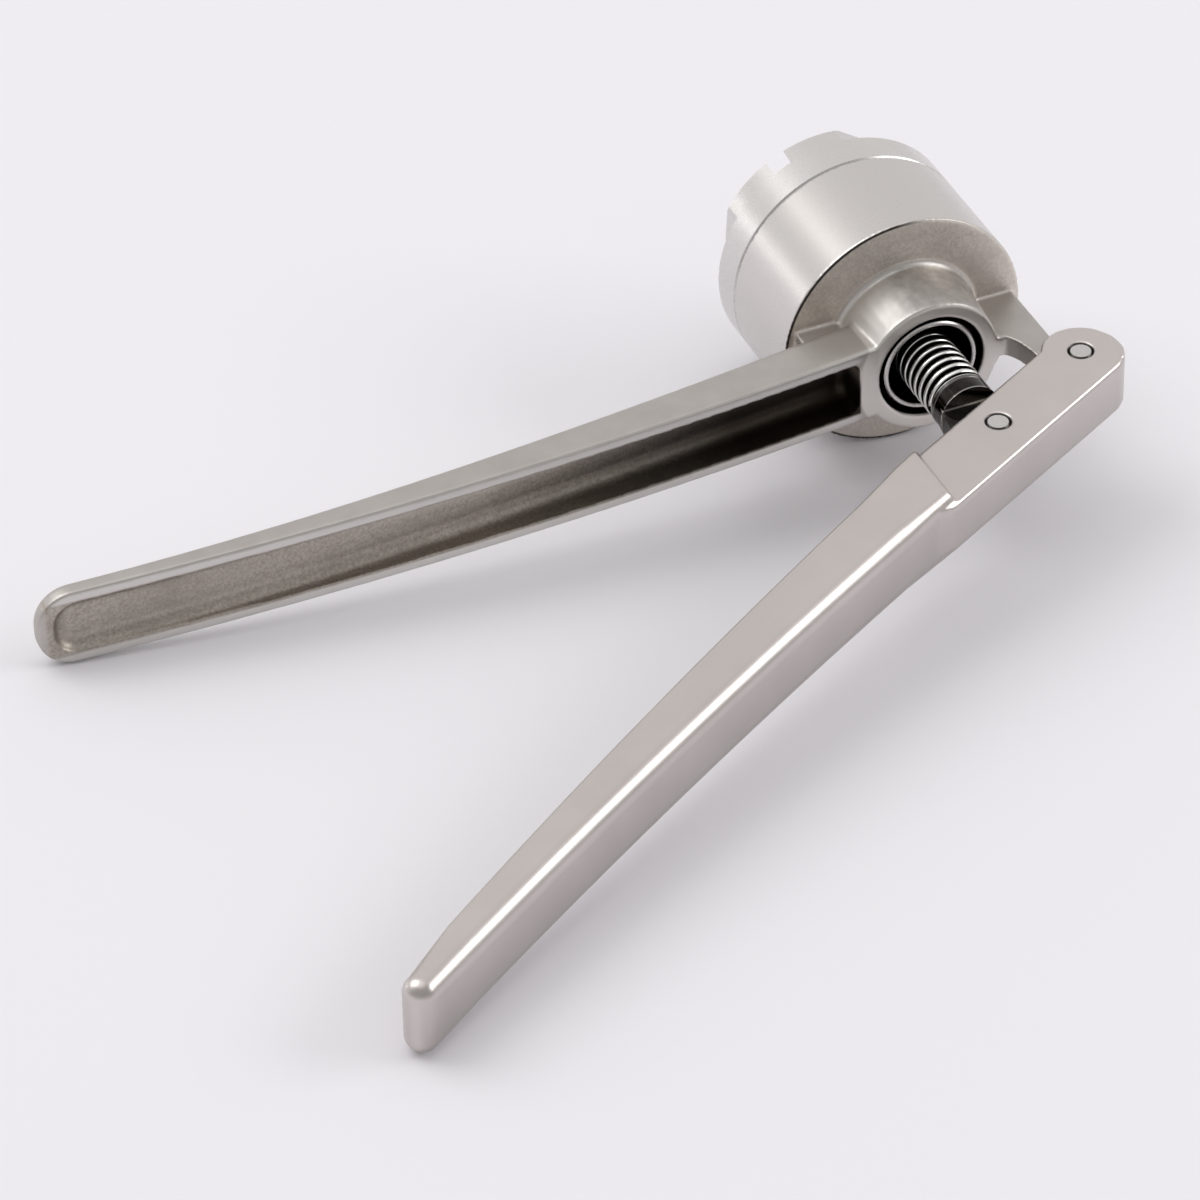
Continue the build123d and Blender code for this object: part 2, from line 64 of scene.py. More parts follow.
# The photograph's camera, worked out from the head's circles and the handles' edges
CAMERA_AZIMUTH = -23.257
CAMERA_ELEVATION = 38.669
CAMERA_ROLL = -1.110
CAMERA_DISTANCE = 1.08284
CAMERA_TARGET = Vector((-0.07582, -0.07669, 0.0))
CAMERA_LENS = 202.4
CAMERA_SENSOR = 36.0
CAMERA_NEAREST = 0.01
CAMERA_FURTHEST = 50.0

# The tool lies on the rim of its head and on both handle tips, so the table is tilted
FLOOR_POINT = Vector((-0.157, -0.046, -0.0073))
FLOOR_NORMAL = Vector((0.0943, 0.0136, 1.0)).normalized()
FLOOR_SIZE = 9.0
PAPER = (0.868, 0.854, 0.890)
PAPER_ROUGHNESS = 0.9
PAPER_SPECULAR = 0.1

# Soft boxes: name, azimuth, elevation, distance, width, height and brightness in reflections
LAMPS = (
    ("key", 140.0, 55.0, 1.5, 1.0, 1.0, 1.9),
    ("edge_light", -17.0, 27.0, 1.4, 0.9, 0.55, 3.1),
    ("streak", 132.0, 8.0, 1.3, 0.6, 0.09, 1.9),
)
LAMP_AIM = Vector((-0.05, -0.06, 0.0))

# The world's colour, and its brightness by how far a direction reaches behind the object or up
WORLD_COLOUR = (1.0, 0.99, 0.985)
WORLD_BRIGHT_SIDE = Vector((0.10, 0.95, 0.30)).normalized()
WORLD_LEVEL = {"From Min": -0.3, "From Max": 0.75, "To Min": 0.42, "To Max": 0.80}
ZENITH_GLOW = {"From Min": 0.84, "From Max": 0.98, "To Min": 0.0, "To Max": 0.45}

# Places of the CAD model that the materials and the softened pieces need
HEAD_RADIUS = 0.022
HEAD_BACK = -0.0317
BOSS_FOOT_RADIUS = 0.0138
BOSS_END = -0.0431
COUNTERBORE_RADIUS = 0.00965
BUSH_BORE_RADIUS = 0.0077
CHANNEL_ROOT = -0.0136
CHANNEL_TIP = -0.1584
CHANNEL_HALF_WIDTH = 0.005
LEVER_PIVOT = Vector((0.02145, -0.0554, 0.0))
LEVER_REST = math.radians(28.7)
LEVER_ALONG = Vector((-math.cos(LEVER_REST), -math.sin(LEVER_REST), 0.0))
LEVER_OUTWARD = Vector((math.sin(LEVER_REST), -math.cos(LEVER_REST), 0.0))
LEVER_CHANNEL = (0.0487, 0.1860)
LEVER_ARM = 0.02415
COLLAR_FRONT = -0.0533
ROD_HEAD_BACK = -0.0574

# The lever's end: CAD outline of the eye, the outer side and the straight side between them
LEVER_EYE_RADIUS = 0.0067
LEVER_OUTER_SIDE = 0.0075
LEVER_SLOPE_NORMAL = (0.8537, 0.5209)
LEVER_SLOPE_DISTANCE = 0.00648
LEVER_EYE_SHARE = 0.3
LEAST_COSINE = 0.1
LEVER_CORE_RADIUS = 0.0035
LEVER_CORE_FADE = 0.002

# The grip: offsets of its sides at its start and end, and its roundings
GRIP_START = 0.0462
GRIP_END = 0.1896
GRIP_OUTER = (0.0066, 0.0132)
GRIP_INNER = (-0.0047, 0.0074)
GRIP_BOW = 0.0016
GRIP_ROUND = 0.0033
GRIP_INNER_ROUND = 0.001
GRIP_FADE = 0.012
GRIP_HALF_THICKNESS = 0.007
GRIP_TIP_OFFSET = 0.0103
GRIP_TIP_RADIUS = 0.0029

# How the softened pieces are made from the CAD meshes
WELD_DISTANCE = 0.000002
SMOOTH_FACTOR = 0.5
LEVER_VOXEL = 0.00032
LEVER_SMOOTHING = 7
CASTING_VOXEL = 0.00028
CASTING_SMOOTHING = 8
HEAD_SNAP = 0.00006

# The return spring at rest
SPRING_SEAT = -0.0301
SPRING_LENGTH = 0.0231
SPRING_WIRE = 0.00115
SPRING_RADIUS = 0.00475
SPRING_TURNS = 11.5
STEPS_PER_TURN = 36
WIRE_SIDES = 14

# Satin metals: darker and lighter colour in linear RGB, and the sizes of clouds and grain
BLASTED_STEEL = ((0.465, 0.437, 0.412), (0.510, 0.480, 0.455), 0.005, 0.0004)
TURNED_STEEL = ((0.680, 0.660, 0.645), (0.710, 0.690, 0.675), 0.008, 0.0003)
LEVER_STEEL = ((0.605, 0.560, 0.538), (0.645, 0.598, 0.575), 0.012, 0.00035)
JAW_STEEL = ((0.46, 0.45, 0.44), (0.55, 0.54, 0.53), 0.003, 0.0003)

# Clouded metals: darker and lighter colour, the clouds' size and their detail
ROD_STEEL = ((0.018, 0.016, 0.014), (0.040, 0.036, 0.032), 0.002, 3.0)
WIRE_STEEL = ((0.86, 0.85, 0.83), (0.97, 0.96, 0.94), 0.004, 2.0)
PIN_STEEL = ((0.58, 0.565, 0.55), (0.66, 0.645, 0.63), 0.0003, 3.0)

# Colours of single zones
RAW_DARK = (0.40, 0.36, 0.315)
RAW_LIGHT = (0.66, 0.61, 0.555)
RAW_STAIN = (0.36, 0.325, 0.285)
BACK_FACE_TINT = (1.0, 0.94, 0.87)
# Painted shade: a near-black line along the head's back rim, on its left side only
BACK_EDGE_PAINTED_SHADE = (0.06, 0.055, 0.05)
# Darker colour of the recess: partly the raw casting's own tone, partly painted shade
RECESS_TONE_AND_SHADE = (0.20, 0.175, 0.15)
# Painted highlight: a light band along the recess floor towards its root
RECESS_PAINTED_HIGHLIGHT = (0.86, 0.80, 0.72)
# Painted shade: near black deep in the recess, towards its root and lower side
RECESS_PAINTED_SHADE = (0.030, 0.022, 0.016)
RIM = (0.66, 0.64, 0.615)
# Lit and shaded copies of the boss's steel: painted shade in its middle and right, painted highlight on its
# left flank
BOSS_PAINTED_SHADE = (0.37, 0.35, 0.33)
BOSS_PAINTED_HIGHLIGHT = (0.74, 0.71, 0.68)
BOSS_FACE = (0.74, 0.705, 0.67)
HEAD_TURNED = (0.665, 0.635, 0.615)
# Painted shade inside the boss's counterbore
BORE_PAINTED_SHADE = (0.03, 0.03, 0.03)
# Painted shade inside the bush and in the gap round it
BUSH_PAINTED_SHADE = (0.02, 0.02, 0.02)
# Painted shade on the lever's outer side, darker towards the bottom
LEVER_SIDE_PAINTED_SHADE = (0.30, 0.28, 0.265)
# Painted shade in the gap round each pin
PIN_GAP_PAINTED_SHADE = (0.10, 0.095, 0.09)
# Painted shade on the pin's chamfer
PIN_CHAMFER_PAINTED_SHADE = (0.09, 0.085, 0.08)
# Painted highlight along the rod head's edge
ROD_EDGE_HIGHLIGHT = (0.42, 0.41, 0.39)
# Painted shade on the coils, all but their outer crests
WIRE_PAINTED_SHADE = (0.012, 0.012, 0.012)
COLLAR_GREY = (0.16, 0.155, 0.15)

# Shares of those colours
BACK_FACE_SHARE = 0.42
RECESS_TONE_AND_SHADE_SHARE = 0.30
RECESS_HIGHLIGHT_SHARE = 0.60

# Noises, and how their values are spread: to low and high, from start and end
SPECKLE = {"size": 0.00055, "detail": 5.0, "roughness": 0.75}
SPECKLE_SPREAD = (0.0, 1.0, 0.38, 0.62)
STAINS = {"size": 0.004, "detail": 4.0, "roughness": 0.6, "stretch": (0.5, 1, 1)}
STAINS_SPREAD = (0.0, 0.5, 0.45, 0.7)
BOSS_CLOUDS = {"size": 0.0022, "detail": 5.0, "roughness": 0.6}
BOSS_CLOUDS_SPREAD = (0.0, 0.45)
BRUSHING = {"size": 0.0005, "detail": 3.0, "roughness": 0.6, "stretch": (0.12, 1, 1)}
LATHE_LINES_PER_METRE = 3500.0
LATHE_DETAIL = 2.0

# Roughness by the grain, from low to high
BLASTED_ROUGHNESS = (0.36, 0.46)
BOSS_ROUGHNESS = (0.36, 0.44)
RAW_ROUGHNESS = (0.34, 0.50)
HEAD_ROUGHNESS = (0.27, 0.31)
TURNED_ROUGHNESS = (0.26, 0.31)
LEVER_ROUGHNESS = (0.28, 0.34)
CHANNEL_ROUGHNESS = 0.52
ROD_ROUGHNESS = (0.08, 0.14)
WIRE_ROUGHNESS = (0.20, 0.24)
PIN_ROUGHNESS = (0.26, 0.36)
JAW_ROUGHNESS = (0.22, 0.32)

# Heights of the bump
BLASTED_HEIGHT = 0.000012
CAST_HEIGHT = 0.000028
LATHE_HEIGHT = 0.0000006
POLISHED_HEIGHT = 0.000003
JAW_HEIGHT = 0.000002

# Borders of the materials' zones: where one ends, and how soft it is there.
# A border named FACING is the cosine between the surface's normal and a direction.
TURNED_INSIDE = (HEAD_RADIUS - 0.0006, 0.0002)
TURNED_BACK = (HEAD_BACK + 0.0002, 0.0001)
TURNED_FACING = (0.5, 0.2)
BACK_FACE_INSIDE = (BOSS_FOOT_RADIUS + 0.0001, 0.0003)
BACK_FACE_REAR = (HEAD_BACK - 0.0006, 0.0002)
BACK_FACE_FRONT = (HEAD_BACK + 0.0005, 0.0002)
BACK_FACE_FACING = (-0.6, 0.2)
BACK_EDGE_INSIDE = (HEAD_RADIUS - 0.0005, 0.0001)
BACK_EDGE_RIGHT = (0.002, 0.004)
RECESS_SIDE = (CHANNEL_HALF_WIDTH + 0.0003, 0.0003)
RECESS_ROOT = (CHANNEL_ROOT + 0.0003, 0.0002)
RECESS_TIP = (CHANNEL_TIP - 0.0012, 0.0004)
RECESS_FACING = (0.3, 0.2)
RECESS_HIGHLIGHT_LOW = (0.0010, 0.0010)
RECESS_HIGHLIGHT_HIGH = (0.0038, 0.0009)
RECESS_HIGHLIGHT_TIP = (-0.085, 0.035)
RECESS_SHADE_SPREAD = (0.0, 0.95, -0.085, -0.035)
RECESS_SHADE_HIGH = (0.0010, 0.0022)
RIM_FACING = (-0.75, 0.15)
RIM_INSIDE = (CHANNEL_HALF_WIDTH + 0.0004, 0.0002)
RIM_ROOT = (CHANNEL_ROOT, 0.001)
BORE_OUTSIDE = (COUNTERBORE_RADIUS + 0.0001, 0.00005)
BORE_REAR = (BOSS_END + 0.0003, 0.0002)
BORE_FRONT = (HEAD_BACK + 0.002, 0.0005)
BOSS_OUTSIDE = (BOSS_FOOT_RADIUS - 0.0001, 0.0003)
BOSS_FRONT = (HEAD_BACK - 0.0002, 0.0002)
BOSS_REAR = (BOSS_END - 0.0005, 0.0002)
BOSS_FACING = (-0.8, 0.1)
BOSS_HIGHLIGHT_SPREAD = (1.0, 0.0, -0.010, -0.002)
BUSH_INSIDE = (BUSH_BORE_RADIUS + 0.00008, 0.00005)
BUSH_INSIDE_FRONT = (-0.0295, 0.0005)
BUSH_OUTSIDE = (BUSH_BORE_RADIUS + 0.0008, 0.00005)
BUSH_OUTSIDE_FRONT = (-0.030, 0.0005)
BUSH_OUTSIDE_REAR = (BOSS_END + 0.0009, 0.0001)
POCKET_OUTSIDE = (COUNTERBORE_RADIUS, 0.0001)
CHANNEL_SIDE = (CHANNEL_HALF_WIDTH + 0.0002, 0.0003)
CHANNEL_START = (LEVER_CHANNEL[0] - 0.0004, 0.0003)
CHANNEL_END = (LEVER_CHANNEL[1] + 0.0012, 0.0004)
CHANNEL_FACING = (0.3, 0.2)
SIDE_SHADE_FACING = (0.6, 0.25)
SIDE_SHADE_SPREAD = (0.42, 0.10, -0.007, 0.005)
PIN_GAP_SHADE_OUTSIDE = (0.00232, 0.00010)
PIN_FACING = (0.86, 0.06)
ROD_HIGHLIGHT_WIDTH = (0.00022, 0.00015)
COIL_REAR = (COLLAR_FRONT + 0.0001, 0.00005)
COIL_FRONT = (SPRING_SEAT + 0.0002, 0.00005)
COIL_CREST = (0.00511, 0.00005)
COLLAR_REAR = (COLLAR_FRONT - 0.0003, 0.00005)


def link(obj):
    bpy.context.scene.collection.objects.link(obj)
    return obj


class Shader:
    """A small helper that adds nodes to a new material and joins their sockets."""

    def __init__(self, name):
        self.material = bpy.data.materials.new(name)
        self.material.use_nodes = True
        self.tree = self.material.node_tree
        self.surface = self.tree.nodes["Principled BSDF"]
        coordinates = self.add("ShaderNodeTexCoord")
        self.place = coordinates.outputs["Object"]
        self.normal = coordinates.outputs["Normal"]

    def add(self, kind, **settings):
        node = self.tree.nodes.new(kind)
        for key, value in settings.items():
            setattr(node, key, value)
        return node

    def feed(self, socket, value):
        """Sets a socket to a number or colour, or joins another socket to it."""
        if isinstance(value, bpy.types.NodeSocket):
            self.tree.links.new(value, socket)
        elif isinstance(value, (tuple, Vector)) and socket.type == "RGBA":
            socket.default_value = (*value, 1.0)
        else:
            socket.default_value = value

    def set(self, **values):
        """Sets the surface's own sockets."""
        for key, value in values.items():
            self.feed(self.surface.inputs[key.replace("_", " ")], value)

    def math(self, operation, *values):
        node = self.add("ShaderNodeMath", operation=operation)
        for socket, value in zip(node.inputs, values):
            self.feed(socket, value)
        return node.outputs[0]

    def split(self, vector):
        node = self.add("ShaderNodeSeparateXYZ")
        self.feed(node.inputs[0], vector)
        return node.outputs[0], node.outputs[1], node.outputs[2]

    def along(self, vector, direction, origin=None):
        """How far a point or normal reaches along a direction."""
        if origin is not None:
            shift = self.add("ShaderNodeVectorMath", operation="SUBTRACT")
            self.feed(shift.inputs[0], vector)
            shift.inputs[1].default_value = origin
            vector = shift.outputs[0]
        node = self.add("ShaderNodeVectorMath", operation="DOT_PRODUCT")
        self.feed(node.inputs[0], vector)
        node.inputs[1].default_value = direction
        return node.outputs["Value"]

    def radius(self):
        """Distance from the head's axis."""
        x, _, z = self.split(self.place)
        return self.math("SQRT", self.math("ADD", self.math("MULTIPLY", x, x), self.math("MULTIPLY", z, z)))

    def away_from(self, point):
        """Distance from a point, seen along Z."""
        flat = self.add("ShaderNodeVectorMath", operation="MULTIPLY")
        self.feed(flat.inputs[0], self.place)
        flat.inputs[1].default_value = (1.0, 1.0, 0.0)
        away = self.add("ShaderNodeVectorMath", operation="DISTANCE")
        self.feed(away.inputs[0], flat.outputs[0])
        away.inputs[1].default_value = point
        return away.outputs["Value"]

    def above(self, value, limit, soft):
        """1 where value is over limit, 0 where it is under, with a soft border."""
        node = self.add("ShaderNodeMapRange", interpolation_type="SMOOTHSTEP")
        self.feed(node.inputs["Value"], value)
        node.inputs["From Min"].default_value = limit - soft
        node.inputs["From Max"].default_value = limit + soft
        return node.outputs["Result"]

    def below(self, value, limit, soft):
        return self.math("SUBTRACT", 1.0, self.above(value, limit, soft))

    def all_of(self, *masks):
        result = masks[0]
        for mask in masks[1:]:
            result = self.math("MULTIPLY", result, mask)
        return result

    def noise(self, size, detail=4.0, roughness=0.5, stretch=(1, 1, 1)):
        """Noise with grains of about the given size."""
        mapping = self.add("ShaderNodeMapping")
        mapping.inputs["Scale"].default_value = stretch
        self.feed(mapping.inputs["Vector"], self.place)
        texture = self.add("ShaderNodeTexNoise")
        texture.inputs["Scale"].default_value = 1.0 / size
        texture.inputs["Detail"].default_value = detail
        texture.inputs["Roughness"].default_value = roughness
        self.feed(texture.inputs["Vector"], mapping.outputs["Vector"])
        return texture.outputs["Fac"]

    def turning(self, y):
        """Fine lathe marks round the head's axis."""
        lines = self.add("ShaderNodeTexNoise", noise_dimensions="1D")
        lines.inputs["Scale"].default_value = LATHE_LINES_PER_METRE
        lines.inputs["Detail"].default_value = LATHE_DETAIL
        self.feed(lines.inputs["W"], y)
        return lines.outputs["Fac"]

    def spread(self, factor, low, high, start=0.3, end=0.7):
        """Maps a factor from start..end to low..high."""
        node = self.add("ShaderNodeMapRange")
        self.feed(node.inputs["Value"], factor)
        for key, value in (("From Min", start), ("From Max", end), ("To Min", low), ("To Max", high)):
            self.feed(node.inputs[key], value)
        return node.outputs["Result"]

    def mix(self, factor, first, second):
        """Goes from one colour to another."""
        node = self.add("ShaderNodeMix", data_type="RGBA")
        self.feed(node.inputs["Factor"], factor)
        self.feed(node.inputs[6], first)
        self.feed(node.inputs[7], second)
        return node.outputs[2]

    def blend(self, factor, first, second):
        """Goes from one number to another."""
        node = self.add("ShaderNodeMix", data_type="FLOAT")
        self.feed(node.inputs["Factor"], factor)
        self.feed(node.inputs[2], first)
        self.feed(node.inputs[3], second)
        return node.outputs[0]

    def bump(self, height):
        """A height in metres becomes the surface's bump."""
        node = self.add("ShaderNodeBump")
        node.inputs["Strength"].default_value = 1.0
        node.inputs["Distance"].default_value = 1.0
        self.feed(node.inputs["Height"], height)
        self.feed(self.surface.inputs["Normal"], node.outputs["Normal"])


def clouded(shader, dark, light, size, detail):
    """A colour with faint clouds, and the noise that makes them."""
    clouds = shader.noise(size, detail)
    return shader.mix(shader.spread(clouds, 0.0, 1.0), dark, light), clouds


def satin(shader, dark, light, cloud_size, grain_size):
    """Colour and fine grain of satin steel, with faint clouds."""
    colour, _ = clouded(shader, dark, light, cloud_size, detail=3.0)
    return colour, shader.noise(grain_size, detail=2.0, roughness=0.6)


def raw_steel(shader):
    """Colour and grain of steel as it was cast."""
    speckle = shader.noise(**SPECKLE)
    return shader.mix(shader.spread(speckle, *SPECKLE_SPREAD), RAW_DARK, RAW_LIGHT), speckle


def casting_material():
    """Blasted casting: turned outside of the head, raw cast back face and recess, with painted shade and
    highlights in the recess, on the boss, in the bore and along the back rim.
    """
    shader = Shader("cast_steel")
    x, y, z = shader.split(shader.place)
    width = shader.math("ABSOLUTE", z)
    _, facing, _ = shader.split(shader.normal)
    radius = shader.radius()

    turned = shader.all_of(
        shader.above(radius, *TURNED_INSIDE),
        shader.above(y, *TURNED_BACK),
        shader.below(shader.math("ABSOLUTE", facing), *TURNED_FACING),
    )
    back_face = shader.all_of(
        shader.above(radius, *BACK_FACE_INSIDE),
        shader.above(y, *BACK_FACE_REAR),
        shader.below(y, *BACK_FACE_FRONT),
        shader.below(facing, *BACK_FACE_FACING),
    )
    # Painted shade along the edge of the back rim, left side only
    back_edge_shade = shader.all_of(
        back_face,
        shader.above(radius, *BACK_EDGE_INSIDE),
        shader.below(x, *BACK_EDGE_RIGHT),
    )
    recess = shader.all_of(
        shader.below(width, *RECESS_SIDE),
        shader.below(x, *RECESS_ROOT),
        shader.above(x, *RECESS_TIP),
        shader.below(facing, *RECESS_FACING),
    )
    # Painted highlight: a light band along the middle of the recess floor
    recess_highlight = shader.all_of(
        recess,
        shader.above(z, *RECESS_HIGHLIGHT_LOW),
        shader.below(z, *RECESS_HIGHLIGHT_HIGH),
        shader.above(x, *RECESS_HIGHLIGHT_TIP),
    )
    # Painted shade: the recess darkens towards its root and its lower side
    depth = shader.all_of(recess, shader.spread(x, *RECESS_SHADE_SPREAD), shader.below(z, *RECESS_SHADE_HIGH))
    rim = shader.all_of(
        shader.below(facing, *RIM_FACING),
        shader.above(width, *RIM_INSIDE),
        shader.below(x, *RIM_ROOT),
    )
    # Painted shade: the counterbore's inside is near black
    bore = shader.all_of(
        shader.below(radius, *BORE_OUTSIDE),
        shader.above(y, *BORE_REAR),
        shader.below(y, *BORE_FRONT),
    )
    boss = shader.all_of(
        shader.below(radius, *BOSS_OUTSIDE),
        shader.below(y, *BOSS_FRONT),
        shader.above(y, *BOSS_REAR),
    )
    raw = shader.math("MAXIMUM", back_face, recess)

    raw_colour, speckle = raw_steel(shader)
    stains = shader.spread(shader.noise(**STAINS), *STAINS_SPREAD)
    raw_colour = shader.mix(stains, raw_colour, RAW_STAIN)
    raw_colour = shader.mix(back_face, raw_colour, shader.mix(BACK_FACE_SHARE, raw_colour, BACK_FACE_TINT))
    # Darkens the whole recess, partly for its own cast tone and partly as painted shade
    raw_colour = shader.mix(shader.math("MULTIPLY", recess, RECESS_TONE_AND_SHADE_SHARE), raw_colour, RECESS_TONE_AND_SHADE)
    raw_colour = shader.mix(shader.math("MULTIPLY", recess_highlight, RECESS_HIGHLIGHT_SHARE), raw_colour, RECESS_PAINTED_HIGHLIGHT)
    raw_colour = shader.mix(depth, raw_colour, RECESS_PAINTED_SHADE)

    # The boss's random clouds, then a painted highlight that keeps its left flank light
    boss_clouds_and_highlight = shader.spread(shader.noise(**BOSS_CLOUDS), *BOSS_CLOUDS_SPREAD)
    boss_clouds_and_highlight = shader.blend(shader.spread(x, *BOSS_HIGHLIGHT_SPREAD), boss_clouds_and_highlight, 1.0)
    boss_colour = shader.mix(boss_clouds_and_highlight, BOSS_PAINTED_SHADE, BOSS_PAINTED_HIGHLIGHT)
    boss_colour = shader.mix(shader.below(facing, *BOSS_FACING), boss_colour, BOSS_FACE)

    colour, grain = satin(shader, *BLASTED_STEEL)
    for zone, zone_colour in (
        (boss, boss_colour), (rim, RIM), (raw, raw_colour),
        (back_edge_shade, BACK_EDGE_PAINTED_SHADE), (turned, HEAD_TURNED), (bore, BORE_PAINTED_SHADE),
    ):
        colour = shader.mix(zone, colour, zone_colour)

    rough = shader.spread(grain, *BLASTED_ROUGHNESS)
    rough = shader.blend(boss, rough, shader.spread(grain, *BOSS_ROUGHNESS))
    rough = shader.blend(raw, rough, shader.spread(speckle, *RAW_ROUGHNESS))
    rough = shader.blend(turned, rough, shader.spread(grain, *HEAD_ROUGHNESS))
    shader.set(Metallic=1.0, Base_Color=colour, Roughness=rough)

    blasted_height = shader.math("MULTIPLY", grain, BLASTED_HEIGHT)
    height = shader.blend(raw, blasted_height, shader.math("MULTIPLY", speckle, CAST_HEIGHT))
    height = shader.blend(turned, height, shader.math("MULTIPLY", shader.turning(y), LATHE_HEIGHT))
    shader.bump(height)
    return shader.material


def turned_material():
    """Fine-turned ring and bush, with painted shade inside the bush's bore and in the gap round the bush.
    """
    shader = Shader("turned_steel")
    _, y, _ = shader.split(shader.place)
    radius = shader.radius()
    inside = shader.all_of(
        shader.below(radius, *BUSH_INSIDE),
        shader.below(y, *BUSH_INSIDE_FRONT),
    )
    outside = shader.all_of(
        shader.above(radius, *BUSH_OUTSIDE),
        shader.below(radius, *POCKET_OUTSIDE),
        shader.above(y, *BUSH_OUTSIDE_REAR),
        shader.below(y, *BUSH_OUTSIDE_FRONT),
    )
    colour, grain = satin(shader, *TURNED_STEEL)
    # Painted shade in the bush's bore and in the gap round the bush
    colour = shader.mix(shader.math("MAXIMUM", inside, outside), colour, BUSH_PAINTED_SHADE)
    shader.set(Metallic=1.0, Base_Color=colour, Roughness=shader.spread(grain, *TURNED_ROUGHNESS))
    shader.bump(shader.math("MULTIPLY", shader.turning(y), LATHE_HEIGHT))
    return shader.material


def lever_material():
    """Satin-polished lever with a raw cast channel, painted shade on the lower part of its outer side and
    painted shade in the gaps round its pins.
    """
    shader = Shader("lever_steel")
    _, _, z = shader.split(shader.place)
    u = shader.along(shader.place, LEVER_ALONG, LEVER_PIVOT)
    facing = shader.along(shader.normal, LEVER_OUTWARD)
    channel = shader.all_of(
        shader.below(shader.math("ABSOLUTE", z), *CHANNEL_SIDE),
        shader.above(u, *CHANNEL_START),
        shader.below(u, *CHANNEL_END),
        shader.below(facing, *CHANNEL_FACING),
    )
    # Painted shade: the outer side darkens towards its bottom
    side = shader.all_of(shader.above(facing, *SIDE_SHADE_FACING), shader.spread(z, *SIDE_SHADE_SPREAD))
    colour, grain = satin(shader, *LEVER_STEEL)
    raw_colour, speckle = raw_steel(shader)
    colour = shader.mix(side, colour, LEVER_SIDE_PAINTED_SHADE)
    colour = shader.mix(channel, colour, raw_colour)
    # Painted shade: a dark ring in the gap round each pin
    for arm in (0.0, LEVER_ARM):
        away = shader.away_from(LEVER_PIVOT + LEVER_ALONG * arm)
        colour = shader.mix(shader.below(away, *PIN_GAP_SHADE_OUTSIDE), colour, PIN_GAP_PAINTED_SHADE)
    brushed = shader.noise(**BRUSHING)
    rough = shader.blend(channel, shader.spread(brushed, *LEVER_ROUGHNESS), CHANNEL_ROUGHNESS)
    shader.set(Metallic=1.0, Base_Color=colour, Roughness=rough)
    polished_height = shader.math("MULTIPLY", grain, POLISHED_HEIGHT)
    shader.bump(shader.blend(channel, polished_height, shader.math("MULTIPLY", speckle, CAST_HEIGHT)))
    return shader.material


def rod_material():
    """Black polished shaft with a painted highlight along the edge of its head."""
    shader = Shader("rod_steel")
    colour, clouds = clouded(shader, *ROD_STEEL)
    _, y, _ = shader.split(shader.place)
    from_edge = shader.math("ABSOLUTE", shader.math("SUBTRACT", y, ROD_HEAD_BACK))
    # Painted highlight: a bright line along the rod head's edge
    colour = shader.mix(shader.below(from_edge, *ROD_HIGHLIGHT_WIDTH), colour, ROD_EDGE_HIGHLIGHT)
    shader.set(Metallic=1.0, Base_Color=colour, Roughness=shader.spread(clouds, *ROD_ROUGHNESS))
    return shader.material


def spring_material():
    """Bright wire with painted shade on all of each coil but its outer crest, a grey collar and a bright
    washer.
    """
    shader = Shader("spring_steel")
    _, y, _ = shader.split(shader.place)
    colour, clouds = clouded(shader, *WIRE_STEEL)
    # Painted shade: the coils are near black inside their crest radius
    wire_shade = shader.all_of(
        shader.above(y, *COIL_REAR),
        shader.below(y, *COIL_FRONT),
        shader.below(shader.radius(), *COIL_CREST),
    )
    colour = shader.mix(wire_shade, colour, WIRE_PAINTED_SHADE)
    colour = shader.mix(shader.below(y, *COLLAR_REAR), colour, COLLAR_GREY)
    shader.set(Metallic=1.0, Base_Color=colour, Roughness=shader.spread(clouds, *WIRE_ROUGHNESS))
    return shader.material


def pin_material():
    """Ground pin ends, with painted shade on the chamfer."""
    shader = Shader("pin_steel")
    _, _, facing = shader.split(shader.normal)
    flat = shader.above(shader.math("ABSOLUTE", facing), *PIN_FACING)
    light, grain = clouded(shader, *PIN_STEEL)
    colour = shader.mix(flat, PIN_CHAMFER_PAINTED_SHADE, light)
    shader.set(Metallic=1.0, Base_Color=colour, Roughness=shader.spread(grain, *PIN_ROUGHNESS))
    return shader.material


def jaw_material():
    """Hardened and ground steel of the jaws, anvil and carrier."""
    shader = Shader("jaw_steel")
    _, y, _ = shader.split(shader.place)
    colour, grain = satin(shader, *JAW_STEEL)
    shader.set(Metallic=1.0, Base_Color=colour, Roughness=shader.spread(grain, *JAW_ROUGHNESS))
    shader.bump(shader.math("MULTIPLY", shader.turning(y), JAW_HEIGHT))
    return shader.material


materials = {
    "casting": casting_material(),
    "turned_steel": turned_material(),
    "lever_steel": lever_material(),
    "rod_steel": rod_material(),
    "spring_steel": spring_material(),
    "pin_steel": pin_material(),
    "jaw_steel": jaw_material(),
}


def dress(obj, slot):
    obj.data.materials.clear()
    obj.data.materials.append(materials[slot])


for name, node in nodes.items():
    dress(node, slot_of_node[name])


def stand_in(name, node, mesh):
    """Makes a new piece that takes a CAD node's place on its body."""
    piece = link(bpy.data.objects.new(name, mesh))
    dress(piece, slot_of_node[node])
    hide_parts(node)
    return piece


def welded_copy(node):
    """A copy of a node's mesh with its doubled points joined."""
    mesh = nodes[node].data.copy()
    shape = bmesh.new()
    shape.from_mesh(mesh)
    bmesh.ops.remove_doubles(shape, verts=shape.verts, dist=WELD_DISTANCE)
    shape.to_mesh(mesh)
    shape.free()
    return mesh


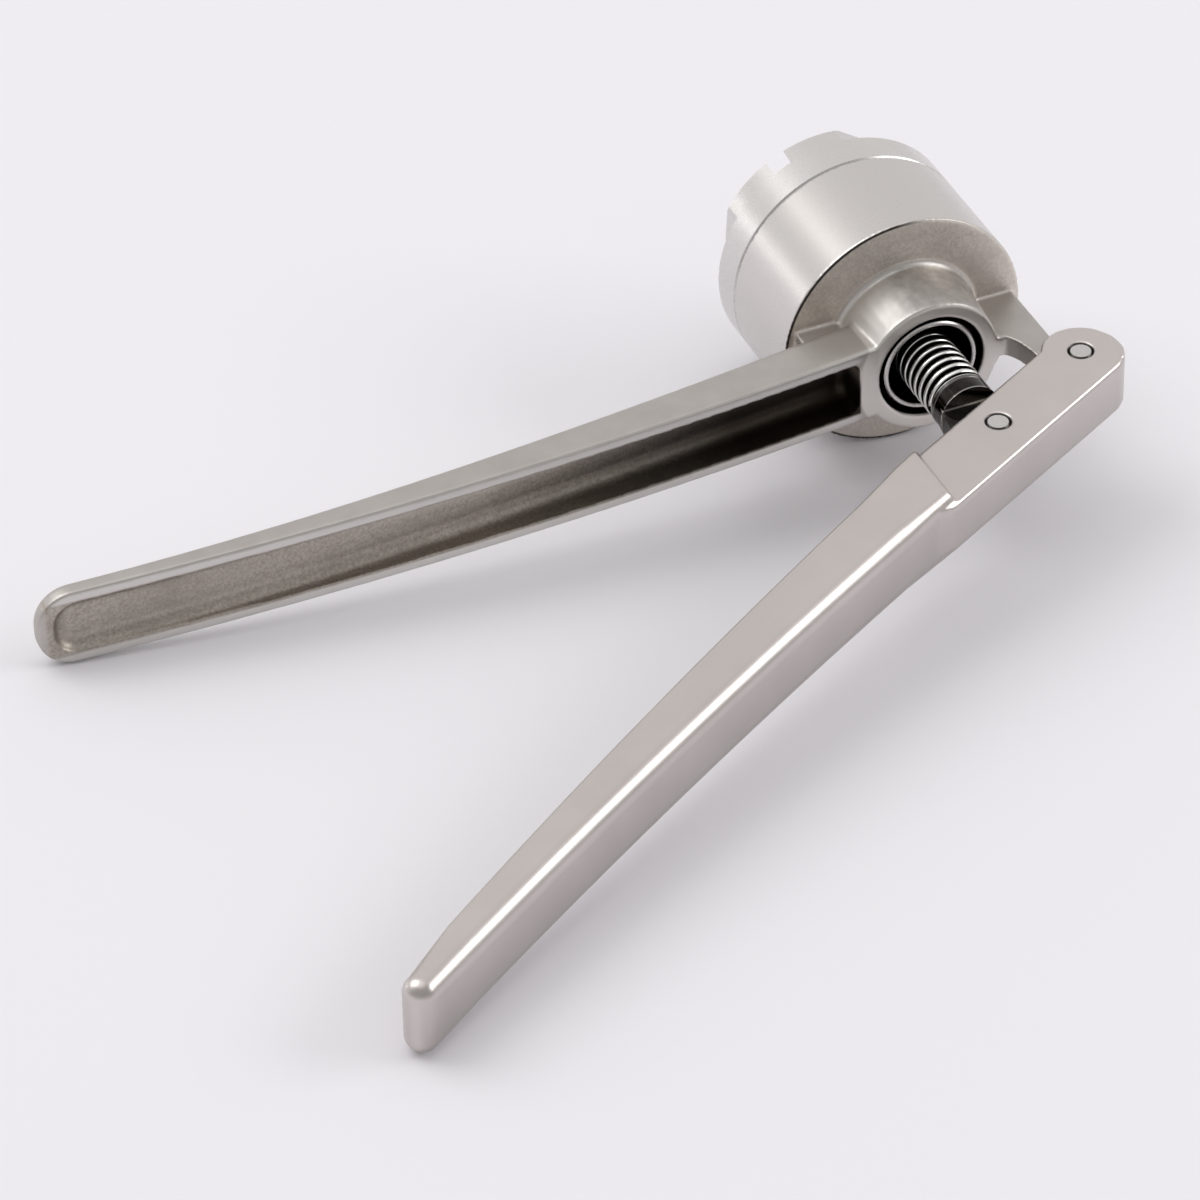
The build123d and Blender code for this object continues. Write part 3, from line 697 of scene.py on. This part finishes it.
def softened(node, voxel, passes):
    """A node's shape with evenly spaced points and with its edges worn round."""
    source = link(bpy.data.objects.new(node + "_source", welded_copy(node)))
    remesh = source.modifiers.new("remesh", "REMESH")
    remesh.mode = "VOXEL"
    remesh.voxel_size = voxel
    smooth = source.modifiers.new("smooth", "SMOOTH")
    smooth.factor = SMOOTH_FACTOR
    smooth.iterations = passes
    graph = bpy.context.evaluated_depsgraph_get()
    mesh = bpy.data.meshes.new_from_object(source.evaluated_get(graph))
    bpy.data.objects.remove(source)
    for polygon in mesh.polygons:
        polygon.use_smooth = True
    return mesh


def round_lever_end(point):
    """Makes the lever's end one round form, from the eye's side to the outer side."""
    offset = point - LEVER_PIVOT
    u = offset.dot(LEVER_ALONG)
    v = offset.dot(LEVER_OUTWARD)
    if u >= 0 or v <= 0:
        return point
    distance = math.hypot(u, v)
    top = LEVER_OUTER_SIDE * distance / v
    if v < LEVER_EYE_SHARE * distance:
        top = LEVER_EYE_RADIUS
    # The straight side between the eye and the outer side, as cut in the CAD model
    cosine = (v * LEVER_SLOPE_NORMAL[1] - u * LEVER_SLOPE_NORMAL[0]) / distance
    outline = max(LEVER_EYE_RADIUS, min(top, LEVER_SLOPE_DISTANCE / max(cosine, LEAST_COSINE)))
    wanted = LEVER_EYE_RADIUS + (LEVER_OUTER_SIDE - LEVER_EYE_RADIUS) * v / distance
    share = min(1.0, max(0.0, (distance - LEVER_CORE_RADIUS) / LEVER_CORE_FADE))
    scale = 1 + (wanted - outline) * share / distance
    return LEVER_PIVOT + u * scale * LEVER_ALONG + v * scale * LEVER_OUTWARD + Vector((0, 0, point.z))


def round_tip(u, v, depth):
    """Brings a point of the grip's end onto a round tip."""
    across = math.hypot(u - GRIP_END, v - GRIP_TIP_OFFSET)
    over = depth - (GRIP_HALF_THICKNESS - GRIP_TIP_RADIUS)
    reach = math.hypot(across, over)
    if over <= 0 or reach <= GRIP_TIP_RADIUS:
        return u, v, depth
    scale = GRIP_TIP_RADIUS / reach
    return (
        GRIP_END + (u - GRIP_END) * scale,
        GRIP_TIP_OFFSET + (v - GRIP_TIP_OFFSET) * scale,
        GRIP_HALF_THICKNESS - GRIP_TIP_RADIUS + over * scale,
    )


def round_edges(u, v, depth):
    """Gives the grip a full edge on its outer side and a small one on its inner side."""
    share = (u - GRIP_START) / (GRIP_END - GRIP_START)
    bow = 4 * GRIP_BOW * share * (1 - share)
    start = min(1.0, (u - GRIP_START) / GRIP_FADE)
    ending = min(1.0, max(0.0, 1 - (GRIP_END - u) / GRIP_FADE))
    outer = GRIP_OUTER[0] + (GRIP_OUTER[1] - GRIP_OUTER[0]) * share - bow
    inner = GRIP_INNER[0] + (GRIP_INNER[1] - GRIP_INNER[0]) * share - bow
    outer_round = GRIP_ROUND + (GRIP_TIP_RADIUS - GRIP_ROUND) * ending
    inner_round = GRIP_INNER_ROUND + (GRIP_TIP_RADIUS - GRIP_INNER_ROUND) * ending
    for side, sign, radius in ((outer, 1, outer_round), (inner, -1, inner_round)):
        across = (v - side) * sign + radius
        over = depth - (GRIP_HALF_THICKNESS - radius)
        reach = math.hypot(across, over)
        if across <= 0 or over <= 0 or reach <= radius:
            continue
        scale = 1 + (radius / reach - 1) * start
        v = side + sign * (across * scale - radius)
        depth = GRIP_HALF_THICKNESS - radius + over * scale
    return u, v, depth


def round_grip(point):
    """Gives the grip fuller edges and a rounder tip."""
    offset = point - LEVER_PIVOT
    u = offset.dot(LEVER_ALONG)
    v = offset.dot(LEVER_OUTWARD)
    if u < GRIP_START:
        return point
    rounding = round_tip if u > GRIP_END else round_edges
    u, v, depth = rounding(u, v, abs(point.z))
    moved = LEVER_PIVOT + u * LEVER_ALONG + v * LEVER_OUTWARD
    return moved + Vector((0, 0, math.copysign(depth, point.z)))


def lever():
    mesh = softened("lever_handle", LEVER_VOXEL, LEVER_SMOOTHING)
    for vertex in mesh.vertices:
        vertex.co = round_grip(round_lever_end(vertex.co))
    piece = stand_in("lever_soft", "lever_handle", mesh)
    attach(piece, body_of_node["lever_handle"])


def casting():
    """The head's turned outside is brought back to its exact radius after smoothing."""
    mesh = softened("body_casting", CASTING_VOXEL, CASTING_SMOOTHING)
    for vertex in mesh.vertices:
        radius = math.hypot(vertex.co.x, vertex.co.z)
        if abs(radius - HEAD_RADIUS) < HEAD_SNAP:
            vertex.co.x *= HEAD_RADIUS / radius
            vertex.co.z *= HEAD_RADIUS / radius
    piece = stand_in("casting_soft", "body_casting", mesh)
    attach(piece, body_of_node["body_casting"])


def spring_mesh():
    """A round wire wound in a helix, from its seat on the bush to the collar."""
    mesh = bpy.data.meshes.new("spring_wire")
    shape = bmesh.new()
    steps = int(SPRING_TURNS * STEPS_PER_TURN)
    rise = SPRING_LENGTH - SPRING_WIRE
    slope = math.atan2(rise, 2 * math.pi * SPRING_RADIUS * SPRING_TURNS)
    rings = []
    for step in range(steps + 1):
        turn = 2 * math.pi * step / STEPS_PER_TURN
        outward = Vector((math.cos(turn), 0.0, math.sin(turn)))
        forward = Vector((-math.sin(turn), 0.0, math.cos(turn)))
        middle = outward * SPRING_RADIUS
        middle.y = SPRING_SEAT - SPRING_WIRE / 2 - rise * step / steps
        upright = Vector((0, math.cos(slope), 0)) + forward * math.sin(slope)
        ring = []
        for corner in range(WIRE_SIDES):
            angle = 2 * math.pi * corner / WIRE_SIDES
            offset = outward * math.cos(angle) + upright * math.sin(angle)
            ring.append(shape.verts.new(middle + offset * SPRING_WIRE / 2))
        rings.append(ring)
    for first, second in zip(rings, rings[1:]):
        for corner in range(WIRE_SIDES):
            following = (corner + 1) % WIRE_SIDES
            shape.faces.new((first[corner], first[following], second[following], second[corner]))
    shape.faces.new(rings[0][::-1])
    shape.faces.new(rings[-1])
    bmesh.ops.recalc_face_normals(shape, faces=shape.faces)
    for face in shape.faces:
        face.smooth = len(face.verts) == 4
    shape.to_mesh(mesh)
    shape.free()
    return mesh


def spring():
    """The wire stays on its seat, on the frame."""
    piece = stand_in("spring_wire", "return_spring", spring_mesh())
    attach(piece, "frame")
    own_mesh(piece)


def floor():
    mesh = bpy.data.meshes.new("table_top")
    shape = bmesh.new()
    bmesh.ops.create_grid(shape, x_segments=1, y_segments=1, size=FLOOR_SIZE / 2)
    shape.to_mesh(mesh)
    shape.free()
    table = link(bpy.data.objects.new("table_top", mesh))
    turn = Vector((0, 0, 1)).rotation_difference(FLOOR_NORMAL).to_matrix().to_4x4()
    table.matrix_world = Matrix.Translation(FLOOR_POINT) @ turn
    shader = Shader("paper")
    shader.set(Base_Color=PAPER, Roughness=PAPER_ROUGHNESS, Specular_IOR_Level=PAPER_SPECULAR)
    mesh.materials.append(shader.material)


def lamp(name, azimuth, elevation, distance, width, height, radiance):
    """A soft box whose brightness in reflections is its radiance."""
    a, e = math.radians(azimuth), math.radians(elevation)
    way = Vector((math.cos(a) * math.cos(e), math.sin(a) * math.cos(e), math.sin(e)))
    data = bpy.data.lights.new(name, "AREA")
    data.shape = "RECTANGLE"
    data.size = width
    data.size_y = height
    data.energy = radiance * math.pi * width * height
    light = link(bpy.data.objects.new(name, data))
    light.location = LAMP_AIM + way * distance
    light.rotation_euler = (-way).to_track_quat("-Z", "Y").to_euler()


def world():
    """Bright behind the object and overhead, darker towards the right and the front."""
    scene_world = bpy.data.worlds.new("studio")
    scene_world.use_nodes = True
    bpy.context.scene.world = scene_world
    tree = scene_world.node_tree
    background = tree.nodes["Background"]
    background.inputs["Color"].default_value = (*WORLD_COLOUR, 1.0)
    direction = tree.nodes.new("ShaderNodeTexCoord").outputs["Generated"]
    behind = tree.nodes.new("ShaderNodeVectorMath")
    behind.operation = "DOT_PRODUCT"
    behind.inputs[1].default_value = WORLD_BRIGHT_SIDE
    tree.links.new(direction, behind.inputs[0])
    height = tree.nodes.new("ShaderNodeSeparateXYZ")
    tree.links.new(direction, height.inputs[0])
    total = tree.nodes.new("ShaderNodeMath")
    reaches = ((behind.outputs["Value"], WORLD_LEVEL), (height.outputs["Z"], ZENITH_GLOW))
    for (reach, limits), summand in zip(reaches, total.inputs):
        level = tree.nodes.new("ShaderNodeMapRange")
        level.interpolation_type = "SMOOTHSTEP"
        for key, value in limits.items():
            level.inputs[key].default_value = value
        tree.links.new(reach, level.inputs["Value"])
        tree.links.new(level.outputs["Result"], summand)
    tree.links.new(total.outputs[0], background.inputs["Strength"])


def camera():
    azimuth = math.radians(CAMERA_AZIMUTH)
    elevation = math.radians(CAMERA_ELEVATION)
    roll = math.radians(CAMERA_ROLL)
    back = Vector((
        math.sin(azimuth) * math.cos(elevation),
        -math.cos(azimuth) * math.cos(elevation),
        math.sin(elevation),
    ))
    level = Vector((math.cos(azimuth), math.sin(azimuth), 0.0))
    upright = back.cross(level)
    right = level * math.cos(roll) + upright * math.sin(roll)
    up = upright * math.cos(roll) - level * math.sin(roll)
    data = bpy.data.cameras.new("photo_camera")
    data.sensor_width = CAMERA_SENSOR
    data.lens = CAMERA_LENS
    data.clip_start = CAMERA_NEAREST
    data.clip_end = CAMERA_FURTHEST
    eye = link(bpy.data.objects.new("photo_camera", data))
    turn = Matrix((right, up, back)).transposed().to_4x4()
    eye.matrix_world = Matrix.Translation(CAMERA_TARGET + back * CAMERA_DISTANCE) @ turn
    bpy.context.scene.camera = eye


lever()
casting()
spring()
floor()
world()
camera()
for settings in LAMPS:
    lamp(*settings)

bpy.context.scene.view_settings.view_transform = "Standard"
